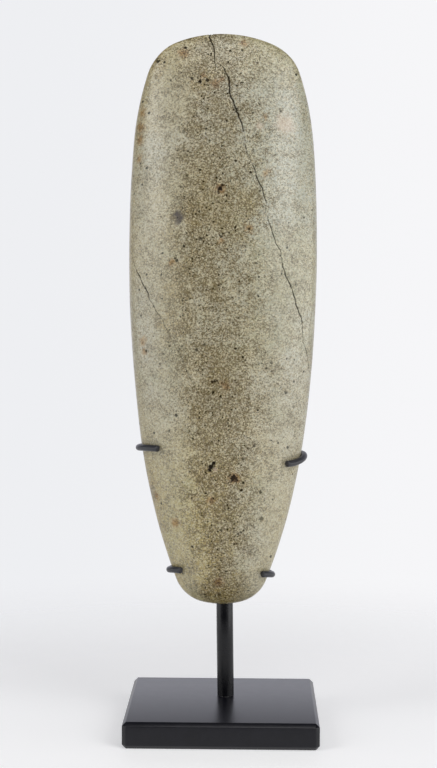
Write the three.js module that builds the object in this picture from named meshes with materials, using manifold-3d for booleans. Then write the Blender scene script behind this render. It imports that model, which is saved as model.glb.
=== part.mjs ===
import * as THREE from "three";
import { mergeVertices } from "three/addons/utils/BufferGeometryUtils.js";
import Module from "manifold-3d";

// A polished stone axe head, held with its cutting edge up by two wire cradles on a bent post.
// Millimetres, +Z up. The origin is under the middle of the base plate, and the front faces -Y.

const wasm = await Module();
wasm.setup();

// Base plate: a square of steel with every edge chamfered.
const PLATE_WIDTH = 90;
const PLATE_THICKNESS = 12.3;
const PLATE_CHAMFER = 1.8;

// Axe head: its overall sizes, and where it is held over the plate.
const AXE_LENGTH = 266.4;
const AXE_WIDTH = 87.7;
const AXE_THICKNESS = 47;
const AXE_X = -0.55;
const AXE_Y = -7.5;
const BUTT_ABOVE_PLATE = 47.7;

// Half of the head's outline, as arcs that run into each other, from the middle of the cutting
// edge round to the butt. They are drawn in millimetres and then stretched to the overall sizes.
const OUTLINE_ARCS = [
  { name: "cutting edge", radius: 58.9, degrees: 21.8 },
  { name: "corner of the edge", radius: 23.2, degrees: 50.2 },
  { name: "shoulder", radius: 141.8, degrees: 13.5 },
  { name: "flank", radius: 648.3, degrees: 12 },
  { name: "lower flank", radius: 307.4, degrees: 13.1 },
  { name: "corner of the butt", radius: 17.4, degrees: 55.1 },
];

// Side view of the head: the height of its thickest section as a share of the length, and how
// it falls away from there. A higher fullness stays thick for longer, and a higher roundness
// ends blunter, so the butt is round and the cutting edge keen.
const THICKEST_SHARE = 0.45;
const EDGE_PROFILE = { fullness: 2.2, roundness: 1.2 };
const BUTT_PROFILE = { fullness: 2.4, roundness: 2 };

// The middle of the cutting edge is worn a little to the left of the head's own axis.
const EDGE_SKEW = -0.75;
const EDGE_SKEW_DEPTH = 12;

// Post: a round bar in a blind hole, that bends back behind the head and leans to its axis.
const POST_DIAMETER = 8;
const POST_X = 1.5;
const POST_Y = 7.5;
const POST_HOLE_DEPTH = 8;
const POST_HOLE_CLEARANCE = 0.3;
const POST_KNEE_ABOVE_PLATE = 32;
const POST_BEND_REACH = 7;
const POST_ABOVE_CRADLE = 6;

// Cradles: one wire each, that passes between the post and the head and hooks round both sides.
// Heights are above the butt, and angles run from the back of the head round to the front. The
// tilt lifts or lowers the right side, and the rise bends each hook's end up or down.
const WIRE_DIAMETER = 3;
const WIRE_CLEARANCE = 0.3;
const HOOK_START_DEGREES = 80;
const LOWER_CRADLE = {
  height: 15.6,
  tilt: -1,
  left: { degrees: 130.5, rise: 1.5 },
  right: { degrees: 127, rise: 1.4 },
};
const UPPER_CRADLE = {
  height: 72.6,
  tilt: -1.5,
  left: { degrees: 131, rise: 1.4 },
  right: { degrees: 127, rise: -3 },
};

// Fineness of the faceted surfaces.
const OUTLINE_SAG = 0.07;
const AXE_SIDES = 72;
const BAR_SIDES = 24;
const WIRE_SIDES = 12;
const POST_STEPS = 20;
const WIRE_STEPS = 52;

const FULL_TURN = 2 * Math.PI;
const QUARTER_TURN = Math.PI / 2;
const SLOPE_STEP = 0.01;
const MERGE_DISTANCE = 1e-4;

const BUTT_Z = PLATE_THICKNESS + BUTT_ABOVE_PLATE;
const EDGE_Z = BUTT_Z + AXE_LENGTH;

// The arcs of the half outline with their centres, from the cutting edge down. Each starts where
// the last one ends, in the direction in which it ends. The last arc, across the butt, is not
// listed above: it is the one that meets the head's axis squarely.
function centredArcs() {
  const arcs = [];
  let start = QUARTER_TURN;
  let point = new THREE.Vector2(0, 0);
  for (const { radius, degrees } of OUTLINE_ARCS) {
    const end = start - THREE.MathUtils.degToRad(degrees);
    const centre = new THREE.Vector2(
      point.x - radius * Math.cos(start),
      point.y - radius * Math.sin(start),
    );
    arcs.push({ centre, radius, start, end });
    point = new THREE.Vector2(
      centre.x + radius * Math.cos(end),
      centre.y + radius * Math.sin(end),
    );
    start = end;
  }
  const radius = point.x / Math.cos(start);
  const centre = new THREE.Vector2(0, point.y - radius * Math.sin(start));
  arcs.push({ centre, radius, start, end: -QUARTER_TURN });
  return arcs;
}

const ARCS = centredArcs();
const DRAWN_BUTT = ARCS.at(-1).centre.y - ARCS.at(-1).radius;
const DRAWN_HALF_WIDTH = Math.max(...ARCS.map((arc) => arc.centre.x + arc.radius
  * Math.cos(THREE.MathUtils.clamp(0, arc.end, arc.start))));
const STRETCH_ALONG = AXE_LENGTH / -DRAWN_BUTT;
const STRETCH_ACROSS = AXE_WIDTH / 2 / DRAWN_HALF_WIDTH;

// Heights of the rings of the surface, close together where the outline turns quickly.
function ringHeights() {
  const heights = [EDGE_Z];
  for (const { centre, radius, start, end } of ARCS) {
    const stepAngle = 2 * Math.acos(1 - OUTLINE_SAG / radius);
    const steps = Math.ceil((start - end) / stepAngle);
    for (let step = 1; step <= steps; step += 1) {
      const angle = THREE.MathUtils.lerp(start, end, step / steps);
      heights.push(EDGE_Z + STRETCH_ALONG * (centre.y + radius * Math.sin(angle)));
    }
  }
  return heights;
}

function halfWidthAt(z) {
  const drawn = THREE.MathUtils.clamp((z - EDGE_Z) / STRETCH_ALONG, DRAWN_BUTT, 0);
  const arc = ARCS.find(({ centre, radius, end }) => drawn >= centre.y + radius * Math.sin(end))
    ?? ARCS.at(-1);
  const rise = drawn - arc.centre.y;
  const reach = Math.sqrt(Math.max(0, arc.radius ** 2 - rise ** 2));
  return STRETCH_ACROSS * (arc.centre.x + reach);
}

function halfThicknessAt(z) {
  const thickestZ = BUTT_Z + THICKEST_SHARE * AXE_LENGTH;
  const above = z > thickestZ;
  const { fullness, roundness } = above ? EDGE_PROFILE : BUTT_PROFILE;
  const end = above ? EDGE_Z : BUTT_Z;
  const share = THREE.MathUtils.clamp((z - thickestZ) / (end - thickestZ), 0, 1);
  return (AXE_THICKNESS / 2) * (1 - share ** fullness) ** (1 / roundness);
}

function centreXAt(z) {
  return AXE_X + EDGE_SKEW * THREE.MathUtils.smoothstep(z, EDGE_Z - EDGE_SKEW_DEPTH, EDGE_Z);
}

// A point of the head's surface. The angle runs from the middle of the back towards +X.
function surfacePoint(angle, z) {
  return new THREE.Vector3(
    centreXAt(z) + halfWidthAt(z) * Math.sin(angle),
    AXE_Y + halfThicknessAt(z) * Math.cos(angle),
    z,
  );
}

// The direction that points straight out of the head's surface there.
function surfaceNormal(angle, z) {
  const up = surfacePoint(angle, z + SLOPE_STEP).sub(surfacePoint(angle, z - SLOPE_STEP));
  const round = surfacePoint(angle + SLOPE_STEP, z).sub(surfacePoint(angle - SLOPE_STEP, z));
  return up.cross(round).normalize();
}

// A sphere's grid of vertices, moved ring by ring onto the head's sections.
function axeGeometry() {
  const heights = ringHeights();
  const geometry = new THREE.SphereGeometry(1, AXE_SIDES, heights.length - 1);
  const position = geometry.attributes.position;
  const row = AXE_SIDES + 1;
  for (let index = 0; index < position.count; index += 1) {
    const z = heights[Math.floor(index / row)];
    const angle = ((index % row) / AXE_SIDES) * FULL_TURN;
    const point = surfacePoint(-QUARTER_TURN - angle, z);
    position.setXYZ(index, point.x, point.y, point.z);
  }
  geometry.computeVertexNormals();
  return geometry;
}

// A round bar along a path, with square-cut ends.
function barGeometry(path, diameter, sides, steps) {
  const section = new THREE.Shape();
  section.absarc(0, 0, diameter / 2, 0, FULL_TURN);
  return new THREE.ExtrudeGeometry(section, {
    curveSegments: sides / 2,
    steps,
    extrudePath: path,
  });
}

// Straight stretches between the points, with each corner rounded over the bend's reach.
function bentPath(points, reach) {
  const path = new THREE.CurvePath();
  let from = points[0];
  for (let index = 1; index < points.length - 1; index += 1) {
    const corner = points[index];
    const before = points[index - 1].clone().sub(corner).setLength(reach).add(corner);
    const after = points[index + 1].clone().sub(corner).setLength(reach).add(corner);
    path.add(new THREE.LineCurve3(from, before));
    path.add(new THREE.QuadraticBezierCurve3(before, corner, after));
    from = after;
  }
  path.add(new THREE.LineCurve3(from, points.at(-1)));
  return path;
}

// The middle line of a cradle's wire, a wire's radius and a clearance off the head.
function cradlePath({ height, tilt, left, right }) {
  const standOff = WIRE_DIAMETER / 2 + WIRE_CLEARANCE;
  const points = [];
  for (let step = 0; step <= WIRE_STEPS; step += 1) {
    const degrees = THREE.MathUtils.lerp(-left.degrees, right.degrees, step / WIRE_STEPS);
    const side = degrees < 0 ? left : right;
    const hooked = THREE.MathUtils.smoothstep(
      Math.abs(degrees),
      HOOK_START_DEGREES,
      side.degrees,
    );
    const angle = THREE.MathUtils.degToRad(degrees);
    const z = BUTT_Z + height + tilt * Math.sin(angle) + side.rise * hooked;
    points.push(surfacePoint(angle, z).addScaledVector(surfaceNormal(angle, z), standOff));
  }
  return new THREE.CatmullRomCurve3(points);
}

// Where a cradle's wire crosses the post, at the middle of the back.
function wireBehind({ height }) {
  const z = BUTT_Z + height;
  const standOff = WIRE_DIAMETER / 2 + WIRE_CLEARANCE;
  return surfacePoint(0, z).addScaledVector(surfaceNormal(0, z), standOff);
}

// The post's middle line: up from its hole, back at the knee, then past both wires.
function postPoints() {
  const lowerWire = wireBehind(LOWER_CRADLE);
  const upperWire = wireBehind(UPPER_CRADLE);
  const along = upperWire.clone().sub(lowerWire).normalize();
  const backwards = new THREE.Vector3(0, along.z, -along.y);
  const standOff = WIRE_DIAMETER / 2 + WIRE_CLEARANCE + POST_DIAMETER / 2;
  const lowerSeat = lowerWire.addScaledVector(backwards, standOff);
  const upperSeat = upperWire.addScaledVector(backwards, standOff);
  const foot = new THREE.Vector3(
    POST_X,
    POST_Y,
    PLATE_THICKNESS - POST_HOLE_DEPTH + POST_HOLE_CLEARANCE,
  );
  const knee = new THREE.Vector3(POST_X, POST_Y, PLATE_THICKNESS + POST_KNEE_ABOVE_PLATE);
  const top = upperSeat.addScaledVector(along, WIRE_DIAMETER / 2 + POST_ABOVE_CRADLE);
  const lean = (AXE_X - POST_X) / (top.z - PLATE_THICKNESS);
  const points = [foot, knee, lowerSeat, top];
  for (const point of points) {
    point.x = POST_X + lean * (point.z - PLATE_THICKNESS);
  }
  return points;
}

function solidOf(geometry) {
  const bare = geometry.clone();
  bare.deleteAttribute("normal");
  bare.deleteAttribute("uv");
  const merged = mergeVertices(bare, MERGE_DISTANCE);
  return new wasm.Manifold(new wasm.Mesh({
    numProp: 3,
    vertProperties: merged.attributes.position.array,
    triVerts: new Uint32Array(merged.index.array),
  }));
}

function geometryOf(solid) {
  const { vertProperties, triVerts } = solid.getMesh();
  const geometry = new THREE.BufferGeometry();
  geometry.setAttribute("position", new THREE.BufferAttribute(vertProperties, 3));
  geometry.setIndex(new THREE.BufferAttribute(triVerts, 1));
  geometry.computeVertexNormals();
  return geometry;
}

// A square with its corners cut off, drawn between its bevelled top and bottom edges.
function plateGeometry(points) {
  const half = PLATE_WIDTH / 2;
  const cut = half - PLATE_CHAMFER;
  const outline = new THREE.Shape([
    new THREE.Vector2(half, -cut),
    new THREE.Vector2(half, cut),
    new THREE.Vector2(cut, half),
    new THREE.Vector2(-cut, half),
    new THREE.Vector2(-half, cut),
    new THREE.Vector2(-half, -cut),
    new THREE.Vector2(-cut, -half),
    new THREE.Vector2(cut, -half),
  ]);
  const plate = new THREE.ExtrudeGeometry(outline, {
    depth: PLATE_THICKNESS - 2 * PLATE_CHAMFER,
    bevelThickness: PLATE_CHAMFER,
    bevelSize: PLATE_CHAMFER,
    bevelOffset: -PLATE_CHAMFER,
    bevelSegments: 1,
  });
  plate.translate(0, 0, PLATE_CHAMFER);
  const [foot, knee] = points;
  const axis = knee.clone().sub(foot).normalize();
  const bottom = foot.clone().addScaledVector(axis, -POST_HOLE_CLEARANCE);
  const hole = barGeometry(
    new THREE.LineCurve3(bottom, knee),
    POST_DIAMETER + 2 * POST_HOLE_CLEARANCE,
    BAR_SIDES,
    1,
  );
  return geometryOf(solidOf(plate).subtract(solidOf(hole)));
}

function piece(name, geometry, material) {
  const mesh = new THREE.Mesh(geometry, new THREE.MeshStandardMaterial(material));
  mesh.name = name;
  return mesh;
}

const polishedStone = { color: 0x8f8a72, roughness: 0.35, metalness: 0 };
const blackPlate = { color: 0x26262b, roughness: 0.4, metalness: 0 };
const blackBar = { color: 0x1c1c1f, roughness: 0.45, metalness: 0 };

const post = postPoints();
const axe = new THREE.Group();
axe.add(
  piece("axe_head", axeGeometry(), polishedStone),
  piece("base_plate", plateGeometry(post), blackPlate),
  piece(
    "post",
    barGeometry(bentPath(post, POST_BEND_REACH), POST_DIAMETER, BAR_SIDES, POST_STEPS),
    blackBar,
  ),
  piece(
    "lower_cradle",
    barGeometry(cradlePath(LOWER_CRADLE), WIRE_DIAMETER, WIRE_SIDES, WIRE_STEPS),
    blackBar,
  ),
  piece(
    "upper_cradle",
    barGeometry(cradlePath(UPPER_CRADLE), WIRE_DIAMETER, WIRE_SIDES, WIRE_STEPS),
    blackBar,
  ),
);

export default axe;
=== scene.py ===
import math

import bmesh
import bpy
import numpy as np
from mathutils import Matrix, Vector, noise


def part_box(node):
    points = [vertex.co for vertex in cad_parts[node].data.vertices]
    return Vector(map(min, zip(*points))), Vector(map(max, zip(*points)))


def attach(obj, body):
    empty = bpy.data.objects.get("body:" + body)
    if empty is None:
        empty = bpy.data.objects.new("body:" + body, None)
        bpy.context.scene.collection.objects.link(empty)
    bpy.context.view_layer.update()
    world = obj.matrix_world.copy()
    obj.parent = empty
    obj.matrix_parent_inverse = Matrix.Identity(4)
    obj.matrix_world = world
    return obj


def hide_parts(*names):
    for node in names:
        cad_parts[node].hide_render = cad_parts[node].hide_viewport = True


# A polished stone axe head on its black wire-and-plate stand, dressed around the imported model.
# All places are in metres in the model's own frame; sizes are written in millimetres times MM.

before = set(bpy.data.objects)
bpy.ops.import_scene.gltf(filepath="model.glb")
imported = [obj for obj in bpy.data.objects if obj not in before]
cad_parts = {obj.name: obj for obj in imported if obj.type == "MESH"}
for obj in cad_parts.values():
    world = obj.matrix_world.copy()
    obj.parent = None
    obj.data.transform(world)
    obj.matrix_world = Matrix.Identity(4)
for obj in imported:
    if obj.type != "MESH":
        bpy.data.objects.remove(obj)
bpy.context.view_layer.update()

MM = 0.001
FULL_TURN = 2 * math.pi
QUARTER_TURN = math.pi / 2

# Camera: the photograph's viewpoint, found from the edges of the base plate.
CAMERA_PLACE = (11.9 * MM, -803.9 * MM, 214.5 * MM)
CAMERA_TURN_DEGREES = 1.027
CAMERA_TILT_DEGREES = 3.627
CAMERA_ROLL_DEGREES = 0.267
FOCAL_PIXELS = 1702.0
PICTURE_HEIGHT_PIXELS = 768
SENSOR_HEIGHT_MM = 24.0

# Axe head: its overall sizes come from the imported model, and its shape from the arcs of half
# of its outline, from the middle of the cutting edge round to the butt (radius, degrees).
OUTLINE_ARCS = (
    (58.9 * MM, 21.8),
    (23.2 * MM, 50.2),
    (141.8 * MM, 13.5),
    (648.3 * MM, 12.0),
    (307.4 * MM, 13.1),
    (17.4 * MM, 55.1),
)
THICKEST_SHARE = 0.45
EDGE_FULLNESS, EDGE_ROUNDNESS = 2.2, 1.2
BUTT_FULLNESS, BUTT_ROUNDNESS = 2.4, 2.0
EDGE_SKEW = -0.75 * MM
EDGE_SKEW_DEPTH = 12 * MM

# Stand: bar and wire sizes, and how the bars run.
POST_DIAMETER = 8 * MM
POST_X = 1.5 * MM
POST_Y = 7.5 * MM
POST_KNEE_ABOVE_PLATE = 32 * MM
POST_BEND_REACH = 7 * MM
POST_ABOVE_CRADLE = 6 * MM
POST_FOOT_DEPTH = 7.7 * MM
WIRE_DIAMETER = 3 * MM
WIRE_CLEARANCE = 0.1 * MM
WIRE_STAND_OFF = WIRE_DIAMETER / 2 + 0.3 * MM

# Cradles: height above the butt, lift of the right side, and for each hook how far round it
# reaches in degrees and how far its end is bent up.
HOOK_START_DEGREES = 80
LOWER_CRADLE = {
    "height": 15.6 * MM,
    "tilt": -1.0 * MM,
    "left": (130.5, 1.5 * MM),
    "right": (127, 1.4 * MM),
}
UPPER_CRADLE = {
    "height": 72.6 * MM,
    "tilt": -1.5 * MM,
    "left": (131, 1.4 * MM),
    "right": (127, -3.0 * MM),
}

# Base plate.
PLATE_CHAMFER = 1.8 * MM
PLATE_EDGE_SOFTNESS = 0.22 * MM

head_low, head_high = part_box("axe_head")
plate_low, plate_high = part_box("base_plate")
BUTT_Z = head_low.z
EDGE_Z = head_high.z
AXE_LENGTH = EDGE_Z - BUTT_Z
AXE_WIDTH = head_high.x - head_low.x
AXE_THICKNESS = head_high.y - head_low.y
AXE_X = (head_high.x + head_low.x) / 2
AXE_Y = (head_high.y + head_low.y) / 2
PLATE_TOP = plate_high.z


# Shape of the axe head

def centred_arcs():
    """The arcs with their centres, start and end angles, closed by one across the butt."""
    arcs = []
    start = QUARTER_TURN
    x, y = 0.0, 0.0
    for radius, degrees in OUTLINE_ARCS:
        end = start - math.radians(degrees)
        centre = (x - radius * math.cos(start), y - radius * math.sin(start))
        arcs.append((centre, radius, start, end))
        x = centre[0] + radius * math.cos(end)
        y = centre[1] + radius * math.sin(end)
        start = end
    radius = x / math.cos(start)
    arcs.append(((0.0, y - radius * math.sin(start)), radius, start, -QUARTER_TURN))
    return arcs


ARCS = centred_arcs()
DRAWN_BUTT = ARCS[-1][0][1] - ARCS[-1][1]
DRAWN_HALF_WIDTH = max(
    centre[0] + radius * math.cos(min(max(0.0, end), start))
    for centre, radius, start, end in ARCS
)
STRETCH_ALONG = AXE_LENGTH / -DRAWN_BUTT
STRETCH_ACROSS = AXE_WIDTH / 2 / DRAWN_HALF_WIDTH


def smoothstep(value, low, high):
    share = np.clip((value - low) / (high - low), 0.0, 1.0)
    return share * share * (3 - 2 * share)


def half_width(z):
    drawn = np.clip((z - EDGE_Z) / STRETCH_ALONG, DRAWN_BUTT, 0.0)
    result = np.zeros_like(drawn)
    done = np.zeros(drawn.shape, bool)
    for index, (centre, radius, start, end) in enumerate(ARCS):
        last = index == len(ARCS) - 1
        here = ~done & (last | (drawn >= centre[1] + radius * math.sin(end)))
        reach = np.sqrt(np.maximum(0.0, radius**2 - (drawn - centre[1]) ** 2))
        result = np.where(here, centre[0] + reach, result)
        done |= here
    return STRETCH_ACROSS * result


def half_thickness(z):
    thickest = BUTT_Z + THICKEST_SHARE * AXE_LENGTH
    above = np.clip((z - thickest) / (EDGE_Z - thickest), 0.0, 1.0)
    below = np.clip((thickest - z) / (thickest - BUTT_Z), 0.0, 1.0)
    upper = (1 - above**EDGE_FULLNESS) ** (1 / EDGE_ROUNDNESS)
    lower = (1 - below**BUTT_FULLNESS) ** (1 / BUTT_ROUNDNESS)
    return AXE_THICKNESS / 2 * np.where(z > thickest, upper, lower)


def centre_x(z):
    return AXE_X + EDGE_SKEW * smoothstep(z, EDGE_Z - EDGE_SKEW_DEPTH, EDGE_Z)


def surface_points(angle, z):
    """Points of the smooth surface. The angle runs from the middle of the back towards +X."""
    angle, z = np.broadcast_arrays(np.asarray(angle, float), np.asarray(z, float))
    return np.stack(
        (
            centre_x(z) + half_width(z) * np.sin(angle),
            AXE_Y + half_thickness(z) * np.cos(angle),
            z,
        ),
        axis=-1,
    )


def surface_normals(angle, z):
    step = 0.01 * MM
    turn = 0.0005
    up = surface_points(angle, z + step) - surface_points(angle, z - step)
    around = surface_points(angle + turn, z) - surface_points(angle - turn, z)
    normals = np.cross(up, around)
    return normals / np.linalg.norm(normals, axis=-1, keepdims=True)


def front_point(across, height):
    """The point of the front face at that place in the front view, in millimetres."""
    z = np.asarray(height, float) * MM
    share = np.clip((np.asarray(across, float) * MM - centre_x(z)) / half_width(z), -1.0, 1.0)
    return surface_points(math.pi - np.arcsin(share), z)


# Marks on the stone. Places are millimetres across and up in the front view.

# Cracks: across, up, and how far the crack has opened there, from a hairline to a groove.
# The long one starts at the cutting edge, jumps sideways once, and runs off round the right side.
LONG_CRACK_START = ((-7.5, 326.2, 1.0), (-5.0, 319.0, 0.95), (-4.5, 314.5, 0.6), (-4.3, 308.5, 0.5))
LONG_CRACK = (
    (-0.8, 310.6, 0.9), (1.5, 305.0, 1.2), (2.5, 298.5, 1.35), (4.5, 292.5, 1.35),
    (7.5, 285.0, 1.0), (9.5, 279.5, 0.55), (10.0, 271.0, 0.55), (13.0, 265.5, 0.62),
    (14.5, 260.5, 0.8), (17.5, 254.5, 0.85), (19.0, 249.0, 0.6), (19.0, 244.0, 0.5),
    (21.5, 236.5, 0.7), (24.0, 229.0, 0.7), (26.0, 225.5, 0.5), (26.5, 220.0, 0.65),
    (30.5, 210.5, 0.85), (34.5, 199.0, 0.85), (36.0, 194.0, 0.75), (37.0, 183.5, 0.5),
    (38.5, 178.5, 0.75), (39.5, 173.5, 0.7), (40.3, 168.0, 0.4),
)
SHORT_CRACK = (
    (-43.2, 229.0, 0.45), (-42.0, 221.0, 0.5), (-38.0, 212.0, 0.8), (-35.0, 207.0, 0.8),
    (-34.0, 203.5, 0.6), (-29.0, 196.0, 0.55), (-24.0, 186.5, 0.45), (-20.0, 179.5, 0.45),
    (-15.0, 167.5, 0.5), (-12.5, 164.0, 0.4), (-10.5, 160.0, 0.4), (-7.0, 156.0, 0.2),
)
CRACK_HALF_WIDTH = 0.38 * MM
CRACK_DEPTH = 0.35 * MM
GROOVE_FLOOR, GROOVE_RIM = 0.25, 1.25
FAINTEST_CRACK = 0.2
CRACK_SHADE = 1.3
CRACKS_REACH_BACK = 3 * MM

# How a crack wanders off the straight line between its points, in millimetres, and how unevenly
# it has opened, each with its waves per millimetre.
TRAIL_STEP = 0.2
FINE_WANDER, FINE_WAVES = 0.28, 0.8
BROAD_WANDER, BROAD_WAVES = 0.5, 0.22
UNEVENNESS, UNEVEN_WAVES = 0.5, 0.5

# Dark pits and crystals: across, up, radius, depth and darkness.
DARK_SPOTS = (
    (-6.0, 125.9, 0.9, 0.3, 1.0), (-5.3, 127.2, 1.2, 0.4, 1.0), (-4.3, 128.9, 1.0, 0.3, 1.0),
    (4.9, 122.2, 1.8, 0.3, 0.95), (6.3, 121.4, 1.2, 0.2, 0.8), (3.4, 123.4, 0.8, 0.1, 0.7),
    (-1.7, 254.3, 1.2, 0.2, 1.0), (-0.7, 255.8, 0.8, 0.1, 0.9), (-2.4, 252.6, 0.8, 0.1, 0.8),
    (-1.0, 232.5, 0.7, 0.1, 0.8), (-10.5, 231.5, 0.8, 0.1, 0.8), (-9.3, 231.8, 0.6, 0.1, 0.7),
    (-22.0, 222.5, 0.6, 0.0, 0.8), (11.5, 236.0, 0.6, 0.1, 0.9), (15.0, 220.5, 0.6, 0.0, 0.7),
    (-15.0, 305.0, 0.8, 0.15, 0.8), (-11.2, 303.7, 0.9, 0.2, 1.0), (-8.0, 304.2, 0.8, 0.15, 0.9),
    (8.0, 303.2, 0.6, 0.1, 0.8), (-31.0, 313.5, 0.9, 0.0, 0.9), (-38.0, 196.0, 0.6, 0.0, 0.8),
    (-35.5, 180.0, 0.7, 0.0, 0.8), (-12.0, 181.0, 0.7, 0.1, 0.8), (-4.9, 166.4, 0.6, 0.1, 0.9),
    (-3.7, 166.7, 0.6, 0.1, 0.9), (-2.8, 166.9, 0.5, 0.1, 0.8), (17.5, 115.5, 0.8, 0.1, 0.8),
    (18.0, 102.5, 1.1, 0.1, 0.7), (7.4, 95.8, 0.6, 0.1, 0.8), (8.6, 96.6, 0.6, 0.1, 0.8),
    (9.8, 97.5, 0.5, 0.1, 0.7), (-0.5, 97.5, 0.7, 0.1, 0.8), (-14.0, 89.5, 0.7, 0.1, 0.8),
    (-1.5, 66.0, 0.9, 0.1, 0.7), (8.0, 318.5, 0.7, 0.1, 0.8), (9.5, 131.0, 0.7, 0.1, 0.7),
    (14.5, 137.0, 0.7, 0.1, 0.7), (-8.5, 183.5, 0.6, 0.0, 0.7), (-24.5, 182.5, 0.6, 0.0, 0.7),
)
SPOT_REACH = 3 * MM
SPOT_WAVES = 1300
SPOT_RAGGEDNESS = 0.6
SPOT_CORE, SPOT_RIM = 0.7, 1.25

# A grey-purple inclusion, and stains: across, up and radius.
GREY_SPOTS = ((-21.2, 242.4, 1.7), (-20.0, 241.2, 1.7), (-20.7, 239.4, 1.5))
RUST_SPOTS = (
    (-4.2, 302.6, 2.4), (-1.5, 305.0, 1.6), (-1.7, 254.3, 2.6), (11.6, 236.2, 2.2),
    (19.3, 261.5, 2.0), (18.5, 287.2, 1.6), (-10.0, 306.5, 1.5), (8.5, 322.0, 2.2),
    (-19.0, 317.0, 2.6), (-38.0, 289.5, 2.4), (-38.7, 283.0, 2.8), (-39.2, 277.0, 2.4),
    (-39.5, 268.0, 2.0), (-37.0, 184.0, 2.6), (-36.5, 179.5, 2.0), (-1.0, 230.5, 1.6),
    (-23.5, 221.0, 1.6), (5.5, 122.0, 3.0), (-1.5, 72.5, 2.6), (-5.0, 112.0, 2.2),
    (1.0, 165.0, 2.2), (-31.0, 112.0, 2.2), (-22.0, 100.0, 2.6),
)
PALE_SPOTS = ((28.0, 284.0, 5.0), (16.0, 283.0, 2.0), (-3.2, 126.2, 1.2))
# Broad clouds in the stone, some brown and some grey-green.
BROWN_CLOUDS = (
    (-31.0, 310.0, 5.5), (29.0, 304.0, 5.0), (-17.0, 242.0, 8.0), (13.0, 248.0, 6.0),
    (-24.0, 233.0, 6.0), (-20.0, 217.0, 6.5), (-23.0, 207.0, 6.0), (-24.0, 191.0, 7.0),
    (-4.0, 227.0, 5.0), (-3.0, 166.5, 7.0), (-10.5, 152.0, 6.0), (-7.5, 123.5, 6.0),
    (2.5, 122.0, 5.0), (-33.0, 114.5, 5.5), (-8.5, 108.5, 5.0), (-5.5, 68.0, 6.0),
    (-10.0, 304.0, 7.0),
)
GREY_CLOUDS = (
    (-1.0, 320.0, 9.0), (4.5, 288.0, 9.0), (-4.5, 280.0, 8.0), (3.0, 218.0, 14.0),
    (0.5, 203.0, 14.0), (-8.0, 188.5, 11.0), (9.5, 133.0, 8.0), (11.0, 97.5, 10.0),
    (8.0, 84.0, 9.0), (7.0, 268.0, 10.0), (9.0, 212.0, 7.0), (7.5, 186.0, 6.0),
    (7.5, 114.0, 6.0),
)
# How far a stain and its rim reach, as shares of its radius, and the waves of its rim per radius.
STAIN_REACH = 2.2
STAIN_CORE, STAIN_RIM = 0.25, 1.3
STAIN_WAVES = 2.1

# Hand grinding: how far the surface swells in broad facets and in fine ripples, with the waves
# per metre, and the lengths over which it dies out towards the cutting edge and the butt.
FACET_SWELL, FACET_WAVES = 0.16 * MM, 28
RIPPLE_SWELL, RIPPLE_WAVES = 0.05 * MM, 75
RIPPLE_SHIFT = Vector((7, 3, 1))
KEEN_LENGTH = 6 * MM
BUTT_LENGTH = 3 * MM


def build_mesh(name, build):
    """A new object whose mesh is made by the given function in a fresh bmesh."""
    mesh = bpy.data.meshes.new(name)
    made = bmesh.new()
    build(made)
    bmesh.ops.recalc_face_normals(made, faces=made.faces)
    made.to_mesh(mesh)
    made.free()
    mesh.polygons.foreach_set("use_smooth", [True] * len(mesh.polygons))
    piece = bpy.data.objects.new(name, mesh)
    bpy.context.scene.collection.objects.link(piece)
    return piece


def vertex_places(mesh):
    places = np.empty(len(mesh.vertices) * 3)
    mesh.vertices.foreach_get("co", places)
    return places.reshape(-1, 3)


# Fineness of the stone's mesh: the plain grid, and the closer one along cracks and spots.
GRID_SIDES = 188
GRID_STEP = 1.27 * MM
GRID_SAG = 0.006 * MM
FINE_BANDS = (1.9 * MM, 1.1 * MM, 0.6 * MM)
MARKS_REACH_BACK = 4 * MM
POLE_RADIUS = 0.4 * MM
NEARLY_NOTHING = 0.01 * MM
BLOCK_SIZE = 4000


def ring_heights():
    """Heights of the rings, closer where the outline turns quickly."""
    heights = [EDGE_Z]
    for centre, radius, start, end in ARCS:
        by_turn = 2 * math.acos(1 - GRID_SAG / radius)
        by_length = GRID_STEP / radius
        steps = math.ceil((start - end) / min(by_turn, by_length))
        for step in range(1, steps + 1):
            angle = start + (end - start) * step / steps
            heights.append(EDGE_Z + STRETCH_ALONG * (centre[1] + radius * math.sin(angle)))
    return heights


def crack_trail(points, seed):
    """A crack's middle line as close points on the surface, with its opening at each."""
    across, height, opening = np.array(points).T
    length = np.concatenate(([0.0], np.cumsum(np.hypot(np.diff(across), np.diff(height)))))
    along = np.arange(0.0, length[-1], TRAIL_STEP)
    across, height, opening = (
        np.interp(along, length, given) for given in (across, height, opening)
    )
    for index, place in enumerate(along):
        fine = noise.noise(Vector((place * FINE_WAVES, seed, 0)))
        broad = noise.noise(Vector((place * BROAD_WAVES, seed, 9)))
        uneven = noise.noise(Vector((place * UNEVEN_WAVES, seed, 5)))
        across[index] += FINE_WANDER * fine + BROAD_WANDER * broad
        opening[index] *= 1 + UNEVENNESS * uneven
    return front_point(across, height), opening


CRACKS = (
    crack_trail(LONG_CRACK_START, 1.3),
    crack_trail(LONG_CRACK, 4.7),
    crack_trail(SHORT_CRACK, 8.1),
)
CRACK_POINTS = np.concatenate([points for points, _ in CRACKS])
CRACK_OPENINGS = np.concatenate([opening for _, opening in CRACKS])
SPOTS = np.array(DARK_SPOTS)
SPOT_POINTS = front_point(SPOTS[:, 0], SPOTS[:, 1])
SPOT_RADII = SPOTS[:, 2] * MM
SPOT_DEPTHS = SPOTS[:, 3] * MM
SPOT_DARKNESS = SPOTS[:, 4]


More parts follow.
